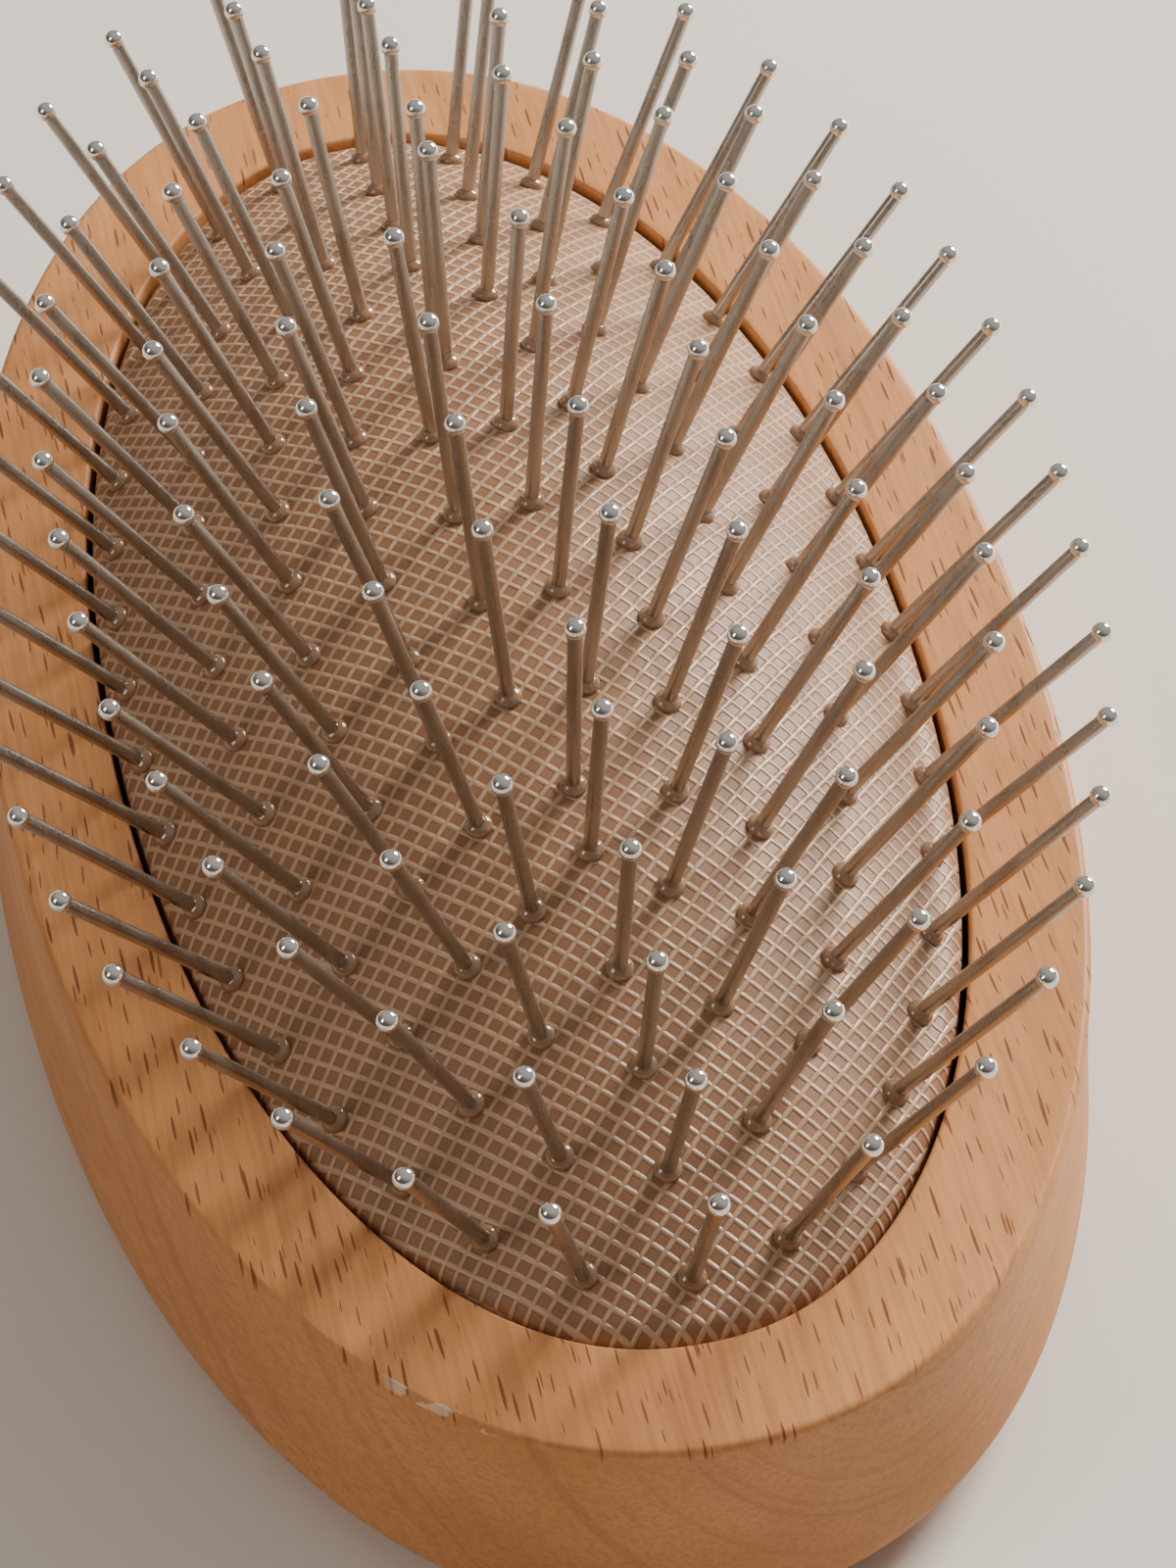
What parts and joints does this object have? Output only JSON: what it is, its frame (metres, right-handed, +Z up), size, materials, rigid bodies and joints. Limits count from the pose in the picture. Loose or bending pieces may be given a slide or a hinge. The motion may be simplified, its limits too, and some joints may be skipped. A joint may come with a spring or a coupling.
{
  "type": "hair brush",
  "caption": "Oval palm brush without a handle: a thick wooden block, a domed air cushion set in its top, and rings of ball-tipped metal pins standing out of the cushion.",
  "frame": {"origin": "middle of the flat underside that the brush lies on, pins up", "axes": "+Z up out of the pins, +Y along the block, +X across it"},
  "size_m": [0.076, 0.1326, 0.0501],
  "materials": {
    "beech": "satin lacquer",
    "cushion": "rubber faced with woven mesh",
    "pins": "polished steel"
  },
  "bodies": {
    "block": {"wooden_block": "beech", "cushion_edge": "cushion"},
    "crown": {"cushion_crown": "cushion"},
    "zone_4": {"cushion_zone_4": "cushion"},
    "zone_3": {"cushion_zone_3": "cushion"},
    "zone_2": {"cushion_zone_2": "cushion"},
    "rocker_ring1_01": {"pins_ring1_01": "pins"},
    "rocker_ring1_02": {"pins_ring1_02": "pins"},
    "rocker_ring1_03": {"pins_ring1_03": "pins"},
    "rocker_ring1_04": {"pins_ring1_04": "pins"},
    "rocker_ring1_05": {"pins_ring1_05": "pins"},
    "rocker_ring1_06": {"pins_ring1_06": "pins"},
    "rocker_ring1_07": {"pins_ring1_07": "pins"},
    "rocker_ring1_08": {"pins_ring1_08": "pins"},
    "rocker_ring1_09": {"pins_ring1_09": "pins"},
    "rocker_ring1_10": {"pins_ring1_10": "pins"},
    "rocker_ring2_01": {"pins_ring2_01": "pins"},
    "rocker_ring2_02": {"pins_ring2_02": "pins"},
    "rocker_ring2_03": {"pins_ring2_03": "pins"},
    "rocker_ring2_04": {"pins_ring2_04": "pins"},
    "rocker_ring2_05": {"pins_ring2_05": "pins"},
    "rocker_ring2_06": {"pins_ring2_06": "pins"},
    "rocker_ring2_07": {"pins_ring2_07": "pins"},
    "rocker_ring2_08": {"pins_ring2_08": "pins"},
    "rocker_ring3_01": {"pins_ring3_01": "pins"},
    "rocker_ring3_02": {"pins_ring3_02": "pins"},
    "rocker_ring3_03": {"pins_ring3_03": "pins"},
    "rocker_ring3_04": {"pins_ring3_04": "pins"},
    "rocker_ring3_05": {"pins_ring3_05": "pins"},
    "rocker_ring3_06": {"pins_ring3_06": "pins"},
    "rocker_ring3_07": {"pins_ring3_07": "pins"},
    "rocker_ring4_01": {"pins_ring4_01": "pins"},
    "rocker_ring4_02": {"pins_ring4_02": "pins"},
    "rocker_ring4_03": {"pins_ring4_03": "pins"},
    "rocker_ring4_04": {"pins_ring4_04": "pins"},
    "rocker_ring4_05": {"pins_ring4_05": "pins"},
    "rocker_ring5_01": {"pins_ring5_01": "pins"},
    "rocker_ring5_02": {"pins_ring5_02": "pins"},
    "rocker_ring5_03": {"pins_ring5_03": "pins"}
  },
  "joints": [
    {"name": "cushion_press", "type": "slide", "parent": "block", "child": "crown", "axis": [0, 0, 1], "range_m": [-0.004, 0], "stiffness_N_per_m": 900},
    {"name": "zone_4_press", "type": "slide", "parent": "block", "child": "zone_4", "axis": [0, 0, 1], "range_m": [-0.004, 0]},
    {"name": "zone_3_press", "type": "slide", "parent": "block", "child": "zone_3", "axis": [0, 0, 1], "range_m": [-0.004, 0]},
    {"name": "zone_2_press", "type": "slide", "parent": "block", "child": "zone_2", "axis": [0, 0, 1], "range_m": [-0.004, 0]},
    {"name": "rock_ring1_01", "type": "hinge", "parent": "block", "child": "rocker_ring1_01", "pos_m": [0.0086, -0.04893, 0.02034], "axis": [0.82, 0.5724, 0], "range_deg": [-8, 8], "stiffness_Nm_per_rad": 0.006},
    {"name": "rock_ring1_02", "type": "hinge", "parent": "block", "child": "rocker_ring1_02", "pos_m": [0.02232, -0.02676, 0.02029], "axis": [0.2778, 0.9606, 0], "range_deg": [-8, 8], "stiffness_Nm_per_rad": 0.006},
    {"name": "rock_ring1_03", "type": "hinge", "parent": "block", "child": "rocker_ring1_03", "pos_m": [0.02601, -0.00339, 0.02027], "axis": [0.0312, 0.9995, 0], "range_deg": [-8, 8], "stiffness_Nm_per_rad": 0.006},
    {"name": "rock_ring1_04", "type": "hinge", "parent": "block", "child": "rocker_ring1_04", "pos_m": [0.02395, 0.02019, 0.02028], "axis": [-0.199, 0.98, 0], "range_deg": [-8, 8], "stiffness_Nm_per_rad": 0.006},
    {"name": "rock_ring1_05", "type": "hinge", "parent": "block", "child": "rocker_ring1_05", "pos_m": [0.0134, 0.04464, 0.02033], "axis": [-0.6343, 0.7731, 0], "range_deg": [-8, 8], "stiffness_Nm_per_rad": 0.006},
    {"name": "rock_ring1_06", "type": "hinge", "parent": "block", "child": "rocker_ring1_06", "pos_m": [-0.0086, 0.04893, 0.02034], "axis": [-0.82, -0.5724, 0], "range_deg": [-8, 8], "stiffness_Nm_per_rad": 0.006},
    {"name": "rock_ring1_07", "type": "hinge", "parent": "block", "child": "rocker_ring1_07", "pos_m": [-0.02232, 0.02676, 0.02029], "axis": [-0.2778, -0.9606, 0], "range_deg": [-8, 8], "stiffness_Nm_per_rad": 0.006},
    {"name": "rock_ring1_08", "type": "hinge", "parent": "block", "child": "rocker_ring1_08", "pos_m": [-0.02601, 0.00339, 0.02027], "axis": [-0.0312, -0.9995, 0], "range_deg": [-8, 8], "stiffness_Nm_per_rad": 0.006},
    {"name": "rock_ring1_09", "type": "hinge", "parent": "block", "child": "rocker_ring1_09", "pos_m": [-0.02395, -0.02019, 0.02028], "axis": [0.199, -0.98, 0], "range_deg": [-8, 8], "stiffness_Nm_per_rad": 0.006},
    {"name": "rock_ring1_10", "type": "hinge", "parent": "block", "child": "rocker_ring1_10", "pos_m": [-0.0134, -0.04464, 0.02033], "axis": [0.6343, -0.7731, 0], "range_deg": [-8, 8], "stiffness_Nm_per_rad": 0.006},
    {"name": "rock_ring2_01", "type": "hinge", "parent": "zone_2", "child": "rocker_ring2_01", "pos_m": [0.00787, -0.04121, 0.02328], "axis": [0.7268, 0.6869, 0], "range_deg": [-8, 8], "stiffness_Nm_per_rad": 0.006},
    {"name": "rock_ring2_02", "type": "hinge", "parent": "zone_2", "child": "rocker_ring2_02", "pos_m": [0.01859, -0.01704, 0.0244], "axis": [0.1705, 0.9854, 0], "range_deg": [-8, 8], "stiffness_Nm_per_rad": 0.006},
    {"name": "rock_ring2_03", "type": "hinge", "parent": "zone_2", "child": "rocker_ring2_03", "pos_m": [0.01952, 0.01026, 0.02454], "axis": [-0.0985, 0.9951, 0], "range_deg": [-8, 8], "stiffness_Nm_per_rad": 0.006},
    {"name": "rock_ring2_04", "type": "hinge", "parent": "zone_2", "child": "rocker_ring2_04", "pos_m": [0.01201, 0.03624, 0.02357], "axis": [-0.5048, 0.8633, 0], "range_deg": [-8, 8], "stiffness_Nm_per_rad": 0.006},
    {"name": "rock_ring2_05", "type": "hinge", "parent": "zone_2", "child": "rocker_ring2_05", "pos_m": [-0.00787, 0.04121, 0.02328], "axis": [-0.7268, -0.6869, 0], "range_deg": [-8, 8], "stiffness_Nm_per_rad": 0.006},
    {"name": "rock_ring2_06", "type": "hinge", "parent": "zone_2", "child": "rocker_ring2_06", "pos_m": [-0.01859, 0.01704, 0.0244], "axis": [-0.1705, -0.9854, 0], "range_deg": [-8, 8], "stiffness_Nm_per_rad": 0.006},
    {"name": "rock_ring2_07", "type": "hinge", "parent": "zone_2", "child": "rocker_ring2_07", "pos_m": [-0.01952, -0.01026, 0.02454], "axis": [0.0985, -0.9951, 0], "range_deg": [-8, 8], "stiffness_Nm_per_rad": 0.006},
    {"name": "rock_ring2_08", "type": "hinge", "parent": "zone_2", "child": "rocker_ring2_08", "pos_m": [-0.01201, -0.03624, 0.02357], "axis": [0.5048, -0.8633, 0], "range_deg": [-8, 8], "stiffness_Nm_per_rad": 0.006},
    {"name": "rock_ring3_01", "type": "hinge", "parent": "zone_3", "child": "rocker_ring3_01", "pos_m": [0.00665, -0.03313, 0.02596], "axis": [0.5808, 0.814, 0], "range_deg": [-8, 8], "stiffness_Nm_per_rad": 0.006},
    {"name": "rock_ring3_02", "type": "hinge", "parent": "zone_3", "child": "rocker_ring3_02", "pos_m": [0.01375, -0.01047, 0.02772], "axis": [0.0968, 0.9953, 0], "range_deg": [-8, 8], "stiffness_Nm_per_rad": 0.006},
    {"name": "rock_ring3_03", "type": "hinge", "parent": "zone_3", "child": "rocker_ring3_03", "pos_m": [0.01319, 0.01392, 0.02752], "axis": [-0.1351, 0.9908, 0], "range_deg": [-8, 8], "stiffness_Nm_per_rad": 0.006},
    {"name": "rock_ring3_04", "type": "hinge", "parent": "zone_3", "child": "rocker_ring3_04", "pos_m": [0.00232, 0.0363, 0.02562], "axis": [-0.9281, 0.3724, 0], "range_deg": [-8, 8], "stiffness_Nm_per_rad": 0.006},
    {"name": "rock_ring3_05", "type": "hinge", "parent": "zone_3", "child": "rocker_ring3_05", "pos_m": [-0.01192, 0.02076, 0.0271], "axis": [-0.2211, -0.9753, 0], "range_deg": [-8, 8], "stiffness_Nm_per_rad": 0.006},
    {"name": "rock_ring3_06", "type": "hinge", "parent": "zone_3", "child": "rocker_ring3_06", "pos_m": [-0.0142, -0.00349, 0.02789], "axis": [0.0314, -0.9995, 0], "range_deg": [-8, 8], "stiffness_Nm_per_rad": 0.006},
    {"name": "rock_ring3_07", "type": "hinge", "parent": "zone_3", "child": "rocker_ring3_07", "pos_m": [-0.0099, -0.02738, 0.02655], "axis": [0.3447, -0.9387, 0], "range_deg": [-8, 8], "stiffness_Nm_per_rad": 0.006},
    {"name": "rock_ring4_01", "type": "hinge", "parent": "zone_4", "child": "rocker_ring4_01", "pos_m": [0.00469, -0.02463, 0.0283], "axis": [0.3694, 0.9293, 0], "range_deg": [-8, 8], "stiffness_Nm_per_rad": 0.006},
    {"name": "rock_ring4_02", "type": "hinge", "parent": "zone_4", "child": "rocker_ring4_02", "pos_m": [0.0082, 0.00362, 0.02992], "axis": [-0.0286, 0.9996, 0], "range_deg": [-8, 8], "stiffness_Nm_per_rad": 0.006},
    {"name": "rock_ring4_03", "type": "hinge", "parent": "zone_4", "child": "rocker_ring4_03", "pos_m": [0.00163, 0.02816, 0.02787], "axis": [-0.8463, 0.5327, 0], "range_deg": [-8, 8], "stiffness_Nm_per_rad": 0.006},
    {"name": "rock_ring4_04", "type": "hinge", "parent": "zone_4", "child": "rocker_ring4_04", "pos_m": [-0.00775, 0.01084, 0.02963], "axis": [-0.0907, -0.9959, 0], "range_deg": [-8, 8], "stiffness_Nm_per_rad": 0.006},
    {"name": "rock_ring4_05", "type": "hinge", "parent": "zone_4", "child": "rocker_ring4_05", "pos_m": [-0.00676, -0.01799, 0.02906], "axis": [0.174, -0.9848, 0], "range_deg": [-8, 8], "stiffness_Nm_per_rad": 0.006},
    {"name": "rock_ring5_01", "type": "hinge", "parent": "crown", "child": "rocker_ring5_01", "pos_m": [0, -0.01772, 0.02994], "axis": [0, 1, 0], "range_deg": [-8, 8], "stiffness_Nm_per_rad": 0.006},
    {"name": "rock_ring5_02", "type": "hinge", "parent": "crown", "child": "rocker_ring5_02", "pos_m": [0, 0, 0.03112], "axis": [0, 1, 0], "range_deg": [-8, 8], "stiffness_Nm_per_rad": 0.006},
    {"name": "rock_ring5_03", "type": "hinge", "parent": "crown", "child": "rocker_ring5_03", "pos_m": [0, 0.01772, 0.02994], "axis": [0, 1, 0], "range_deg": [-8, 8], "stiffness_Nm_per_rad": 0.006}
  ],
  "couplings": [
    {"joint": "zone_4_press", "follows": "cushion_press", "ratio": 0.85},
    {"joint": "zone_3_press", "follows": "cushion_press", "ratio": 0.66},
    {"joint": "zone_2_press", "follows": "cushion_press", "ratio": 0.42}
  ]
}
